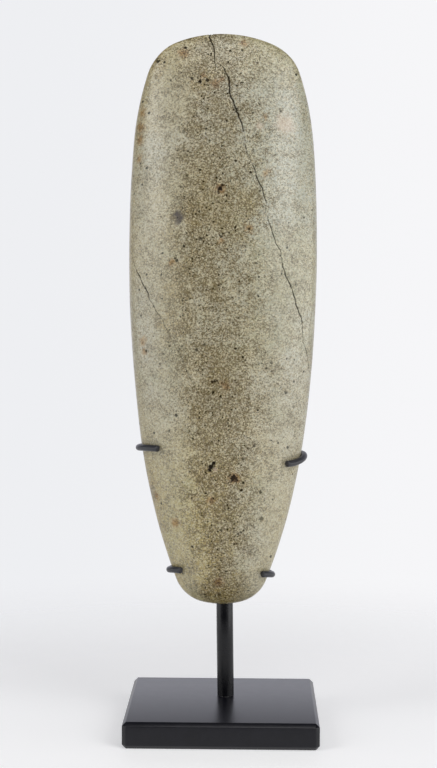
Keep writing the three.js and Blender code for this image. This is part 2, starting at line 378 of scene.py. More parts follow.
def nearest(places, targets):
    """For each place, the distance to the nearest target, and which one that is."""
    distance = np.full(len(places), np.inf)
    which = np.zeros(len(places), int)
    for first in range(0, len(places), BLOCK_SIZE):
        block = slice(first, first + BLOCK_SIZE)
        gaps = np.linalg.norm(places[block, None, :] - targets[None, :, :], axis=2)
        which[block] = gaps.argmin(1)
        distance[block] = gaps.min(1)
    return distance, which


def mark_distance(places):
    """Distance of each place to the nearest crack or the rim of the nearest dark spot."""
    front = places[:, 1] < AXE_Y + MARKS_REACH_BACK
    result = np.full(len(places), np.inf)
    crack, _ = nearest(places[front], CRACK_POINTS)
    spot, which = nearest(places[front], SPOT_POINTS)
    result[front] = np.minimum(crack, np.maximum(0.0, spot - SPOT_RADII[which]))
    return result


def onto_surface(places):
    """Moves places that are almost on the smooth surface onto it; gives angles as well."""
    z = np.clip(places[:, 2], BUTT_Z, EDGE_Z)
    across = (places[:, 0] - centre_x(z)) / np.maximum(half_width(z), NEARLY_NOTHING)
    depth = (places[:, 1] - AXE_Y) / np.maximum(half_thickness(z), NEARLY_NOTHING)
    angle = np.arctan2(across, depth)
    return surface_points(angle, z), angle


def hand_grinding(place):
    """How far the ground surface swells or dips there: broad facets and a fine waviness."""
    broad = noise.noise(Vector(place) * FACET_WAVES)
    fine = noise.noise(Vector(place) * RIPPLE_WAVES + RIPPLE_SHIFT)
    return FACET_SWELL * broad + RIPPLE_SWELL * fine


def axe_head_mesh(made):
    heights = ring_heights()
    angles = np.arange(GRID_SIDES) / GRID_SIDES * FULL_TURN
    top = made.verts.new(surface_points(0.0, EDGE_Z))
    rings = [
        [made.verts.new(point) for point in surface_points(angles, z)]
        for z in heights[1:-1]
    ]
    bottom = made.verts.new(surface_points(0.0, BUTT_Z))
    for side in range(GRID_SIDES):
        after = (side + 1) % GRID_SIDES
        made.faces.new((top, rings[0][side], rings[0][after]))
        made.faces.new((bottom, rings[-1][after], rings[-1][side]))
        for upper, lower in zip(rings, rings[1:]):
            made.faces.new((upper[side], lower[side], lower[after], upper[after]))
    for band in FINE_BANDS:
        made.verts.ensure_lookup_table()
        places = np.array([vert.co for vert in made.verts])
        close = mark_distance(places) < band
        made.verts.index_update()
        edges = [
            edge for edge in made.edges
            if close[edge.verts[0].index] or close[edge.verts[1].index]
        ]
        bmesh.ops.subdivide_edges(made, edges=edges, cuts=1, use_grid_fill=True)
    bmesh.ops.triangulate(made, faces=[face for face in made.faces if len(face.verts) > 4])


def set_attribute(mesh, name, values):
    attribute = mesh.attributes.new(name, "FLOAT", "POINT")
    attribute.data.foreach_set("value", np.asarray(values, np.float32))


def blotches(places, spots, raggedness):
    """How strongly each place is stained by round spots with ragged edges, 0 to 1."""
    result = np.zeros(len(places))
    for across, height, radius in spots:
        centre = front_point(across, height)
        distance = np.linalg.norm(places - centre, axis=1)
        near = distance < STAIN_REACH * radius * MM
        pitch = STAIN_WAVES / (radius * MM)
        ragged = np.array([noise.noise(Vector(place) * pitch) for place in places[near]])
        share = distance[near] / (radius * MM) + raggedness * ragged
        result[near] = np.maximum(result[near], 1 - smoothstep(share, STAIN_CORE, STAIN_RIM))
    return result


def make_axe_head():
    head = build_mesh("axe_head_stone", axe_head_mesh)
    mesh = head.data
    places, angles = onto_surface(vertex_places(mesh))
    normals = surface_normals(angles, places[:, 2])
    poles = half_width(places[:, 2]) < POLE_RADIUS
    upper_half = places[poles, 2:] > AXE_LENGTH / 2 + BUTT_Z
    normals[poles] = np.where(upper_half, (0, 0, 1.0), (0, 0, -1.0))

    crack, nearest_crack = nearest(places, CRACK_POINTS)
    crack[places[:, 1] > AXE_Y + CRACKS_REACH_BACK] = np.inf
    opening = CRACK_OPENINGS[nearest_crack]
    groove = 1 - smoothstep(crack / (CRACK_HALF_WIDTH * opening), GROOVE_FLOOR, GROOVE_RIM)

    spot, nearest_spot = nearest(places, SPOT_POINTS)
    ragged = np.zeros(len(places))
    close = spot < SPOT_REACH
    ragged[close] = [noise.noise(Vector(place) * SPOT_WAVES) for place in places[close]]
    share = spot / SPOT_RADII[nearest_spot] + SPOT_RAGGEDNESS * ragged
    spotted = 1 - smoothstep(share, SPOT_CORE, SPOT_RIM)

    swell = np.array([hand_grinding(place) for place in places])
    swell *= smoothstep(EDGE_Z - places[:, 2], 0.0, KEEN_LENGTH)
    swell *= smoothstep(places[:, 2] - BUTT_Z, 0.0, BUTT_LENGTH)
    sunk = groove * CRACK_DEPTH * opening + spotted * SPOT_DEPTHS[nearest_spot]
    places = places + normals * (swell - sunk)[:, None]
    places[:, 2] = np.clip(places[:, 2], BUTT_Z, EDGE_Z)
    mesh.vertices.foreach_set("co", places.ravel())
    mesh.update()

    set_attribute(mesh, "crack", groove * np.clip(opening * CRACK_SHADE, FAINTEST_CRACK, 1.0))
    set_attribute(mesh, "dark", spotted * SPOT_DARKNESS[nearest_spot])
    set_attribute(mesh, "grey", np.minimum(1.0, 2 * blotches(places, GREY_SPOTS, 0.5)))
    set_attribute(mesh, "rust", blotches(places, RUST_SPOTS, 0.7))
    set_attribute(mesh, "pale", blotches(places, PALE_SPOTS, 0.5))
    set_attribute(mesh, "brown_cloud", blotches(places, BROWN_CLOUDS, 1.0))
    set_attribute(mesh, "grey_cloud", blotches(places, GREY_CLOUDS, 1.0))
    set_attribute(mesh, "flank", np.abs(np.sin(angles)))
    return head


# Shape of the stand

# Fineness of the bars: steps round a softened end, round a bend and along a cradle.
TIP_STEPS = 5
BEND_STEPS = 8
BAR_STEP = 2 * MM
POST_SIDES, WIRE_SIDES = 64, 32
CRADLE_STEPS = 180
END_ROUNDING = 0.22
STEEP = 0.9

# The collar of braze at the post's foot, and the fillets between wires and post.
COLLAR_REACH = 0.5 * MM
COLLAR_BITE = 0.05 * MM
COLLAR_SINK = 0.02 * MM
COLLAR_SIDES, COLLAR_STEPS = 64, 6
BRAZE_HALF_SIZES = Vector((4.3, 1.6, 2.3)) * MM
BRAZE_BEHIND_WIRE = 0.4 * MM
BRAZE_ARMS, BRAZE_HOLLOW = 0.22, 0.12
LUMP_SIZE, LUMP_WAVES, LUMP_SHIFT = 0.05, 3, 900


def swept_bar(name, path, radius, sides):
    """A round bar along close points, with the rims of its square-cut ends softened."""
    path = np.asarray(path, float)
    tangents = np.gradient(path, axis=0)
    tangents /= np.linalg.norm(tangents, axis=1, keepdims=True)
    helper = (1.0, 0.0, 0.0) if abs(tangents[0][2]) >= STEEP else (0.0, 0.0, 1.0)
    side_way = np.cross(tangents[0], helper)
    rim = END_ROUNDING * radius
    rings = []

    def add_ring(centre, tangent, ring_radius):
        nonlocal side_way
        side_way = side_way - np.dot(side_way, tangent) * tangent
        side_way = side_way / np.linalg.norm(side_way)
        other = np.cross(tangent, side_way)
        turns = np.arange(sides) / sides * FULL_TURN
        rings.append(
            centre
            + ring_radius * (np.cos(turns)[:, None] * side_way + np.sin(turns)[:, None] * other)
        )

    def add_tip(end, tangent, inwards, angles):
        for angle in angles:
            shrink = rim * (1 - math.sin(angle))
            inset = rim * (1 - math.cos(angle))
            add_ring(end + inwards * inset, tangent, radius - shrink)

    rim_turns = np.linspace(0.0, QUARTER_TURN, TIP_STEPS, endpoint=False)
    add_tip(path[0], tangents[0], tangents[0], rim_turns)
    for centre, tangent in zip(path[1:-1], tangents[1:-1]):
        add_ring(centre, tangent, radius)
    add_tip(path[-1], tangents[-1], -tangents[-1], rim_turns[::-1])

    def build(made):
        loops = [[made.verts.new(point) for point in ring] for ring in rings]
        for first, second in zip(loops, loops[1:]):
            for side in range(sides):
                after = (side + 1) % sides
                made.faces.new((first[side], first[after], second[after], second[side]))
        made.faces.new(loops[0][::-1])
        made.faces.new(loops[-1])

    return build_mesh(name, build)


def cradle_path(cradle):
    """The wire's middle line: behind the head, round both its sides, and up or down at the ends."""
    left_degrees, left_rise = cradle["left"]
    right_degrees, right_rise = cradle["right"]
    degrees = np.linspace(-left_degrees, right_degrees, CRADLE_STEPS)
    reach = np.where(degrees < 0, left_degrees, right_degrees)
    rise = np.where(degrees < 0, left_rise, right_rise)
    hooked = smoothstep(np.abs(degrees), HOOK_START_DEGREES, reach)
    angle = np.radians(degrees)
    z = BUTT_Z + cradle["height"] + cradle["tilt"] * np.sin(angle) + rise * hooked
    stand_off = WIRE_DIAMETER / 2 + WIRE_CLEARANCE
    return surface_points(angle, z) + surface_normals(angle, z) * stand_off


def wire_behind(cradle):
    z = BUTT_Z + cradle["height"]
    return Vector(surface_points(0.0, z) + surface_normals(0.0, z) * WIRE_STAND_OFF)


def post_corners():
    """The post's foot, knee, bend at the lower wire and top, and how far it leans to the side."""
    lower = wire_behind(LOWER_CRADLE)
    upper = wire_behind(UPPER_CRADLE)
    along = (upper - lower).normalized()
    backwards = Vector((0, along.z, -along.y))
    stand_off = WIRE_STAND_OFF + POST_DIAMETER / 2
    corners = [
        Vector((POST_X, POST_Y, PLATE_TOP - POST_FOOT_DEPTH)),
        Vector((POST_X, POST_Y, PLATE_TOP + POST_KNEE_ABOVE_PLATE)),
        lower + backwards * stand_off,
        upper + backwards * stand_off + along * (WIRE_DIAMETER / 2 + POST_ABOVE_CRADLE),
    ]
    lean = (AXE_X - POST_X) / (corners[-1].z - PLATE_TOP)
    for corner in corners:
        corner.x = POST_X + lean * (corner.z - PLATE_TOP)
    return corners, lean


POST_CORNERS, POST_LEAN = post_corners()


def bent_path(corners):
    """Close points along straight stretches whose corners are rounded."""
    points = []

    def straight(start, end):
        count = max(2, round((end - start).length / BAR_STEP))
        points.extend(start.lerp(end, index / count) for index in range(count))

    start = corners[0]
    for before, corner, after in zip(corners, corners[1:], corners[2:]):
        enter = corner + (before - corner).normalized() * POST_BEND_REACH
        leave = corner + (after - corner).normalized() * POST_BEND_REACH
        straight(start, enter)
        for index in range(BEND_STEPS):
            share = index / BEND_STEPS
            points.append(enter.lerp(corner, share).lerp(corner.lerp(leave, share), share))
        start = leave
    straight(start, corners[-1])
    points.append(corners[-1])
    return points


def make_plate():
    """The plate with every edge chamfered, and the chamfers' own edges softened."""
    def build(made):
        bmesh.ops.create_cube(made, size=1.0)
        bmesh.ops.scale(made, vec=plate_high - plate_low, verts=made.verts)
        bmesh.ops.translate(made, vec=(plate_low + plate_high) / 2, verts=made.verts)
        for offset, segments in ((PLATE_CHAMFER, 1), (PLATE_EDGE_SOFTNESS, 3)):
            bmesh.ops.bevel(
                made, geom=list(made.edges), offset=offset, offset_type="OFFSET",
                segments=segments, affect="EDGES", profile=0.5,
            )

    return build_mesh("plate_body", build)


def make_foot_fillet():
    """The small collar of braze, under the paint, where the post enters the plate."""
    foot = POST_CORNERS[0]
    centre_here = foot.x + POST_LEAN * POST_FOOT_DEPTH
    inner = POST_DIAMETER / 2 - COLLAR_BITE
    turns = [FULL_TURN * side / COLLAR_SIDES for side in range(COLLAR_SIDES)]

    def build(made):
        rings = []
        for step in range(COLLAR_STEPS + 1):
            angle = QUARTER_TURN * step / COLLAR_STEPS
            radius = inner + COLLAR_REACH * (1 - math.sin(angle))
            z = PLATE_TOP - COLLAR_SINK + COLLAR_REACH * (1 - math.cos(angle))
            rings.append([
                made.verts.new((
                    centre_here + radius * math.cos(turn),
                    foot.y + radius * math.sin(turn),
                    z,
                ))
                for turn in turns
            ])
        for side in range(COLLAR_SIDES):
            after = (side + 1) % COLLAR_SIDES
            for lower, upper in zip(rings, rings[1:]):
                made.faces.new((lower[side], lower[after], upper[after], upper[side]))
        made.faces.new(rings[0][::-1])
        made.faces.new(rings[-1])

    return build_mesh("post_foot_fillet", build)


def make_braze(name, cradle):
    """The fillet of braze between a wire and the post, pulled out along both."""
    wire = wire_behind(cradle)
    along = (POST_CORNERS[-1] - POST_CORNERS[-2]).normalized()
    backwards = Vector((0, along.z, -along.y))
    centre = wire + backwards * (WIRE_DIAMETER / 2 + BRAZE_BEHIND_WIRE)
    centre.x = POST_X + POST_LEAN * (wire.z - PLATE_TOP)
    half_across, half_deep, half_tall = BRAZE_HALF_SIZES

    def build(made):
        bmesh.ops.create_icosphere(made, subdivisions=4, radius=1.0)
        for vert in made.verts:
            unit = vert.co.copy()
            star = 1 + BRAZE_ARMS * (unit.x**4 + unit.z**4) - BRAZE_HOLLOW * (unit.x * unit.z) ** 2
            lump = 1 + LUMP_SIZE * noise.noise(unit * LUMP_WAVES + centre * LUMP_SHIFT)
            offset = Vector((unit.x * half_across, 0, 0)) + backwards * (unit.y * half_deep)
            offset += along * (unit.z * half_tall)
            vert.co = centre + offset * star * lump

    return build_mesh(name, build)


# Materials

def add(tree, kind, inputs=None, **settings):
    """A new shader node, with its settings and with values or links on its inputs."""
    made = tree.nodes.new(kind)
    for key, value in settings.items():
        setattr(made, key, value)
    for key, value in (inputs or {}).items():
        socket = made.inputs[key]
        if isinstance(value, bpy.types.NodeSocket):
            tree.links.new(value, socket)
        else:
            socket.default_value = value
    return made


def math_of(tree, operation, first, second=0.0, third=0.0):
    made = add(tree, "ShaderNodeMath", {0: first, 1: second, 2: third}, operation=operation)
    return made.outputs[0]


def mix_colours(tree, factor, first, second, blend="MIX"):
    made = add(tree, "ShaderNodeMix", {0: factor, 6: first, 7: second},
               data_type="RGBA", blend_type=blend)
    return made.outputs[2]


def map_range(tree, value, low, high, to_low=0.0, to_high=1.0):
    made = add(tree, "ShaderNodeMapRange", {0: value, 1: low, 2: high, 3: to_low, 4: to_high},
               interpolation_type="SMOOTHSTEP")
    return made.outputs[0]


def noise_of(tree, coords, size, detail=2.0, roughness=0.5, colour=False):
    """Noise whose features are about size metres across."""
    made = add(tree, "ShaderNodeTexNoise",
               {"Vector": coords, "Scale": 1 / size, "Detail": detail, "Roughness": roughness})
    return made.outputs["Color" if colour else "Fac"]


def cells_of(tree, coords, size):
    """Cells about size metres across, each with a colour of its own."""
    return add(tree, "ShaderNodeTexVoronoi", {"Vector": coords, "Scale": 1 / size})


def times(tree, first, second):
    return math_of(tree, "MULTIPLY", first, second)


def attribute_of(tree, name):
    return add(tree, "ShaderNodeAttribute", attribute_name=name).outputs["Fac"]


def new_material(name):
    material = bpy.data.materials.new(name)
    material.use_nodes = True
    tree = material.node_tree
    shader = tree.nodes["Principled BSDF"]
    return material, tree, shader


def colour(red, green, blue):
    """A linear colour from the 0 to 255 values of a picture."""
    def linear(value):
        value = value / 255
        return value / 12.92 if value <= 0.04045 else ((value + 0.055) / 1.055) ** 2.4
    return (linear(red), linear(green), linear(blue), 1.0)


# The brown streak down the faces: where it crosses the height 0, how far it leans to the left
# per unit of height, and the reach of its full strength and of its faded rim.
STREAK_X = 24.7 * MM
STREAK_LEAN = 0.048
STREAK_CORE = 4 * MM
STREAK_REACH = 19 * MM
STREAK_SWAY = 14 * MM
STREAK_FRAY = 22 * MM
STREAK_HEIGHTS = (285 * MM, 190 * MM)
STREAK_DEPTH = 0.36

# Where other colours set in and reach their full strength, by height and across.
EDGE_HEIGHTS = (295 * MM, 320 * MM)
EDGE_SHARE = 0.7
LOW_HEIGHTS = (165 * MM, 100 * MM)
LOW_ACROSS = (24 * MM, -6 * MM)
HIGH_HEIGHTS = (160 * MM, 210 * MM)
HIGH_ACROSS = (-8 * MM, 20 * MM)
# Where the warmer tint and painted shade along the left rim set in: across, and by how far round the
# flank.
LEFT_RIM_SHADE_ACROSS = (0.0, -20 * MM)
LEFT_RIM_SHADE_FLANK = (0.85, 0.98)
# Painted sheen on the flanks: the heights over which it fades out towards the cutting edge, and its
# full strength.
FLANK_SHEEN_HEIGHTS = (322 * MM, 296 * MM)
FLANK_SHEEN_SHARE = 0.2

# Sizes of the stone's patches, clouds and grains.
PATCH_SIZE = 38 * MM
GREEN_SIZE = 15 * MM
CLOUD_SIZE = 8 * MM
CRYSTAL_SPACING = 3.4 * MM
SPECK_SPACING = 1.5 * MM
COARSE_SIZE = 0.88 * MM
GRAIN_SIZE = 0.54 * MM
FINE_SIZE = 0.5 * MM
GRAIN_RELIEF = 0.08 * MM

# The stone's colours. A tint multiplies what is under it, and a tone covers it.
COOL_GROUND = colour(170, 167, 149)
WARM_GROUND = colour(168, 159, 128)
CLOUD_TONE = colour(150, 140, 105)
GREEN_TONE = colour(140, 142, 116)
STREAK_TONE = colour(130, 117, 74)
EDGE_TONE = colour(171, 159, 117)
LOW_TINT = colour(255, 241, 180)
HIGH_TINT = colour(240, 249, 255)
# A warmer, darker tint for the left rim: partly its brownish colour, partly painted shade.
LEFT_RIM_SHADE_TINT = colour(244, 238, 220)
BROWN_CLOUD_TINT = colour(236, 222, 184)
GREY_CLOUD_TONE = colour(168, 167, 149)
OCHRE_GRAIN_TONE = colour(160, 134, 82)
GREY_GRAIN_TONE = colour(168, 170, 160)
LIGHT_GRAIN_TONE = colour(219, 211, 182)
LIGHT_DUST_TONE = colour(216, 207, 176)
DARK_GRAIN_TONE = colour(92, 80, 42)
GAP_TONE = colour(80, 65, 28)
DARK_DUST_TONE = colour(80, 65, 31)
SPECK_TONE = colour(46, 39, 24)
CRYSTAL_TONE = colour(44, 37, 24)
# A pale grey painted over the flanks as painted sheen.
FLANK_SHEEN_TONE = colour(185, 185, 171)
RUST_TINT = colour(218, 176, 118)
PALE_TONE = colour(206, 184, 164)
GREY_SPOT_TONE = colour(70, 65, 66)
DARK_SPOT_TONE = colour(34, 28, 20)
CRACK_TONE = colour(30, 24, 16)
STONE_REFRACTION = 1.55
STONE_ROUGHNESS = 0.32


def dark_crystals(tree, coords, grains, spacing, share, biggest):
    """Sparse ragged dark crystals: one in some cells of the given spacing, of uneven size."""
    cells = cells_of(tree, coords, spacing)
    pick = add(tree, "ShaderNodeSeparateColor", {0: cells.outputs["Color"]})
    chosen = map_range(tree, pick.outputs[0], 1 - share, 1.02 - share)
    size = times(tree, pick.outputs[1], biggest)
    wobble = math_of(tree, "MULTIPLY_ADD", grains, 0.35, cells.outputs["Distance"])
    inside = map_range(tree, math_of(tree, "SUBTRACT", wobble, size), 0.27, 0.19)
    return times(tree, chosen, inside)


def ground_colour(tree, coords, other, place, flank):
    """The colour under the grains, and the patches, clouds and streak that it is made of."""
    patches = noise_of(tree, coords, PATCH_SIZE, 3.0, 0.55)
    warm = map_range(tree, patches, 0.42, 0.62)
    base = mix_colours(tree, warm, COOL_GROUND, WARM_GROUND)
    clouds = noise_of(tree, coords, CLOUD_SIZE, 3.0, 0.6)
    middle = math_of(tree, "MULTIPLY_ADD", flank, -0.6, 1.0)
    cloudy = times(tree, map_range(tree, clouds, 0.42, 0.7), middle)
    base = mix_colours(tree, cloudy, base, CLOUD_TONE)
    green = map_range(tree, noise_of(tree, other, GREEN_SIZE, 2.0, 0.5), 0.55, 0.72)
    base = mix_colours(tree, times(tree, green, 0.5), base, GREEN_TONE)

    # The brown streak, bent by the patches, frayed by the clouds and hidden by grey ones.
    leaning = math_of(tree, "MULTIPLY_ADD", place["Z"], STREAK_LEAN, place["X"])
    wavy = math_of(tree, "MULTIPLY_ADD", patches, STREAK_SWAY, leaning)
    frayed = math_of(tree, "MULTIPLY_ADD", clouds, STREAK_FRAY, wavy)
    off_middle = math_of(tree, "ABSOLUTE", math_of(tree, "SUBTRACT", frayed, STREAK_X))
    streak = map_range(tree, off_middle, STREAK_REACH, STREAK_CORE)
    grey_cloud = attribute_of(tree, "grey_cloud")
    streak = times(tree, streak, math_of(tree, "MULTIPLY_ADD", grey_cloud, -0.8, 1.0))
    streak_depth = map_range(tree, place["Z"], *STREAK_HEIGHTS, 0.0, STREAK_DEPTH)
    base = mix_colours(tree, times(tree, streak, streak_depth), base, STREAK_TONE)

    # Slow changes of colour over the height and the width, and the single clouds.
    top = map_range(tree, place["Z"], *EDGE_HEIGHTS, 0.0, EDGE_SHARE)
    base = mix_colours(tree, top, base, EDGE_TONE)
    low_down = map_range(tree, place["Z"], *LOW_HEIGHTS)
    leftwards = map_range(tree, place["X"], *LOW_ACROSS, 0.2, 1.0)
    base = mix_colours(tree, times(tree, low_down, leftwards), base, LOW_TINT, "MULTIPLY")
    high_up = map_range(tree, place["Z"], *HIGH_HEIGHTS)
    rightwards = map_range(tree, place["X"], *HIGH_ACROSS)
    base = mix_colours(tree, times(tree, high_up, rightwards), base, HIGH_TINT, "MULTIPLY")
    # The left rim is tinted warmer and darker: partly the stone's brownish colour, partly painted
    # shade at the grazing edge.
    left_side = map_range(tree, place["X"], *LEFT_RIM_SHADE_ACROSS)
    left_rim_shade = times(tree, map_range(tree, flank, *LEFT_RIM_SHADE_FLANK), left_side)
    base = mix_colours(tree, left_rim_shade, base, LEFT_RIM_SHADE_TINT, "MULTIPLY")
    brown_cloud = attribute_of(tree, "brown_cloud")
    base = mix_colours(tree, times(tree, brown_cloud, 0.8), base, BROWN_CLOUD_TINT, "MULTIPLY")
    base = mix_colours(tree, times(tree, grey_cloud, 0.6), base, GREY_CLOUD_TONE)
    return base, patches, clouds, streak, brown_cloud


def lay_grains(tree, base, coords, other, flank, bare):
    """Grains of every tone with dark gaps between them, and sparse dark specks and crystals."""
    shown = map_range(tree, math_of(tree, "MULTIPLY_ADD", flank, -0.2, bare), 0.05, 0.7, 0.78, 1.05)
    drift = math_of(tree, "MULTIPLY_ADD", shown, -0.5, 0.42)
    grains = noise_of(tree, coords, COARSE_SIZE, 3.0, 0.8)
    fine = noise_of(tree, other, FINE_SIZE, 2.0, 0.7)
    jitter = noise_of(tree, coords, GRAIN_SIZE, 1.0, 0.5, colour=True)
    moved = add(tree, "ShaderNodeVectorMath", {0: jitter, 1: (GRAIN_SIZE,) * 3, 2: coords},
                operation="MULTIPLY_ADD").outputs[0]
    cells = cells_of(tree, moved, GRAIN_SIZE)
    tones = add(tree, "ShaderNodeSeparateColor", {0: cells.outputs["Color"]}).outputs
    dark_grain = map_range(tree, math_of(tree, "ADD", tones[0], drift), 0.3, 0.1)
    gaps = map_range(tree, math_of(tree, "ADD", grains, drift), 0.43, 0.31)
    fine_dark = map_range(tree, math_of(tree, "ADD", fine, drift), 0.4, 0.25)
    layers = (
        (map_range(tree, tones[1], 0.6, 0.8), 0.4, OCHRE_GRAIN_TONE),
        (map_range(tree, tones[2], 0.7, 0.9), 0.4, GREY_GRAIN_TONE),
        (map_range(tree, tones[0], 0.5, 0.95), 0.5, LIGHT_GRAIN_TONE),
        (map_range(tree, fine, 0.5, 0.72), 0.35, LIGHT_DUST_TONE),
        (dark_grain, 0.85, DARK_GRAIN_TONE),
        (gaps, 0.8, GAP_TONE),
        (fine_dark, 0.8, DARK_DUST_TONE),
    )
    for amount, strength, tone in layers:
        amount = times(tree, amount, times(tree, shown, strength))
        base = mix_colours(tree, amount, base, tone)
    dark = math_of(tree, "MAXIMUM", gaps, dark_grain)

    speckled = map_range(tree, math_of(tree, "MULTIPLY_ADD", flank, -0.45, bare), 0.1, 0.6, 0.3, 1.0)
    specks = dark_crystals(tree, coords, grains, SPECK_SPACING, 0.5, 0.27)
    specks = times(tree, specks, speckled)
    crystals = dark_crystals(tree, other, grains, CRYSTAL_SPACING, 0.32, 0.16)
    base = mix_colours(tree, specks, base, SPECK_TONE)
    base = mix_colours(tree, crystals, base, CRYSTAL_TONE)
    return base, fine, dark, specks, crystals


def lay_marks(tree, base, dark):
    """The single marks: stains, inclusions, pits and the cracks."""
    stain = math_of(tree, "MULTIPLY_ADD", dark, 0.3, 0.7)
    rust = times(tree, attribute_of(tree, "rust"), stain)
    base = mix_colours(tree, rust, base, RUST_TINT, "MULTIPLY")
    pale = times(tree, attribute_of(tree, "pale"), 0.4)
    base = mix_colours(tree, pale, base, PALE_TONE)
    grey = times(tree, attribute_of(tree, "grey"), 0.85)
    base = mix_colours(tree, grey, base, GREY_SPOT_TONE)
    base = mix_colours(tree, attribute_of(tree, "dark"), base, DARK_SPOT_TONE)
    return mix_colours(tree, attribute_of(tree, "crack"), base, CRACK_TONE)


def stone_material():
    """Speckled grey-green and brown stone, with a satin polish that the dark marks lack."""
    material, tree, shader = new_material("ground_green_stone")
    coords = add(tree, "ShaderNodeTexCoord").outputs["Object"]
    other = add(tree, "ShaderNodeVectorMath", {0: coords, 1: (0.31, 0.17, 0.23)}).outputs[0]
    place = add(tree, "ShaderNodeSeparateXYZ", {0: coords}).outputs
    flank = attribute_of(tree, "flank")
    base, patches, clouds, streak, brown_cloud = ground_colour(tree, coords, other, place, flank)

    # The grains show most where the clouds and the streak are, and are worn smooth on the flanks.
    bare = math_of(tree, "ADD", clouds, times(tree, streak, 0.2))
    bare = math_of(tree, "MULTIPLY_ADD", brown_cloud, 0.2, bare)
    base, fine, dark, specks, crystals = lay_grains(tree, base, coords, other, flank, bare)

    # Both flanks are painted pale grey, a painted sheen where the lamps' highlights fall, least
    # towards the rim.
    flank_sheen = map_range(tree, math_of(tree, "MULTIPLY_ADD", patches, 0.5, flank), 0.5, 1.0)
    rim = map_range(tree, flank, 0.98, 0.78, 0.45, 1.0)
    below_edge = map_range(tree, place["Z"], *FLANK_SHEEN_HEIGHTS, 0.0, FLANK_SHEEN_SHARE)
    flank_sheen = times(tree, flank_sheen, times(tree, rim, below_edge))
    base = mix_colours(tree, flank_sheen, base, FLANK_SHEEN_TONE)
    base = lay_marks(tree, base, dark)
    tree.links.new(base, shader.inputs["Base Color"])

    rough = math_of(tree, "MULTIPLY_ADD", fine, -0.1, STONE_ROUGHNESS)
    rough = math_of(tree, "MULTIPLY_ADD", dark, 0.15, rough)
    rough = math_of(tree, "MULTIPLY_ADD", attribute_of(tree, "crack"), 0.4, rough)
    tree.links.new(rough, shader.inputs["Roughness"])
    height = math_of(tree, "MULTIPLY_ADD", dark, -0.6, fine)
    height = math_of(tree, "MULTIPLY_ADD", specks, -0.5, height)
    bump = add(tree, "ShaderNodeBump",
               {"Height": height, "Strength": 0.2, "Distance": GRAIN_RELIEF})
    tree.links.new(bump.outputs[0], shader.inputs["Normal"])
    marked = math_of(tree, "MAXIMUM", attribute_of(tree, "dark"), attribute_of(tree, "crack"))
    marked = math_of(tree, "MAXIMUM", marked, math_of(tree, "MAXIMUM", crystals, specks))
    gloss = math_of(tree, "MULTIPLY_ADD", marked, -0.45, 0.5)
    tree.links.new(gloss, shader.inputs["Specular IOR Level"])
    shader.inputs["IOR"].default_value = STONE_REFRACTION
    return material


def paint_material(name, tint, roughness_range, refraction, grain_size):
    """Satin black paint: a fine orange-peel, with slightly rubbed and faded patches."""
    material, tree, shader = new_material(name)
    coords = add(tree, "ShaderNodeTexCoord").outputs["Object"]
    mottle = noise_of(tree, coords, 6 * MM, 3.0, 0.6)
    grain = noise_of(tree, coords, grain_size, 2.0, 0.6)
    lighter = tuple(min(1.0, channel * 1.7 + 0.003) for channel in tint[:3]) + (1.0,)
    base = mix_colours(tree, map_range(tree, mottle, 0.35, 0.75, 0.0, 0.5), tint, lighter)
    tree.links.new(base, shader.inputs["Base Color"])
    rough = map_range(tree, mottle, 0.3, 0.7, *roughness_range)
    tree.links.new(rough, shader.inputs["Roughness"])
    bump = add(tree, "ShaderNodeBump", {"Height": grain, "Strength": 0.2, "Distance": 0.03 * MM})
    tree.links.new(bump.outputs[0], shader.inputs["Normal"])
    shader.inputs["IOR"].default_value = refraction
    return material


# Stage, camera and light

FLOOR_RADIUS = 1.6
FLOOR_FADE_START = 0.09
FLOOR_FADE_END = 0.42
BACKGROUND_LEFT = colour(238, 239, 242)
BACKGROUND_RIGHT = colour(246, 246, 248)
BACKDROP_TINT = (0.96, 0.97, 1.08, 1.0)
BACKGROUND_SPAN = (-0.14, 0.12)
BACKDROP_BEHIND = (0.3, 0.95)
BACKDROP_HEIGHT = (0.62, 0.42)
BACKDROP_STRENGTH = 0.9
SURROUND_STRENGTH = 0.04
FLOOR_TONE = 0.74
FLOOR_GLOW = 0.41
FLOOR_ROUGHNESS = 0.65
LIGHT_DISTANCE = 1.5
LIGHT_TARGET = Vector((0, 0, 0.19))
# Lights: azimuth and elevation in degrees, width and height in metres, and power in watts.
SOFTBOXES = {
    "left_softbox": (-55, 27, 0.62, 1.09, 7.3),
    "right_softbox": (45, 27, 0.8, 1.09, 10.9),
    "upper_fill": (6, 53, 0.9, 0.5, 4.8),
    "left_low": (-86, 0, 1.3, 0.53, 3.6),
    "right_low": (84, 0, 1.7, 0.53, 7.0),
}


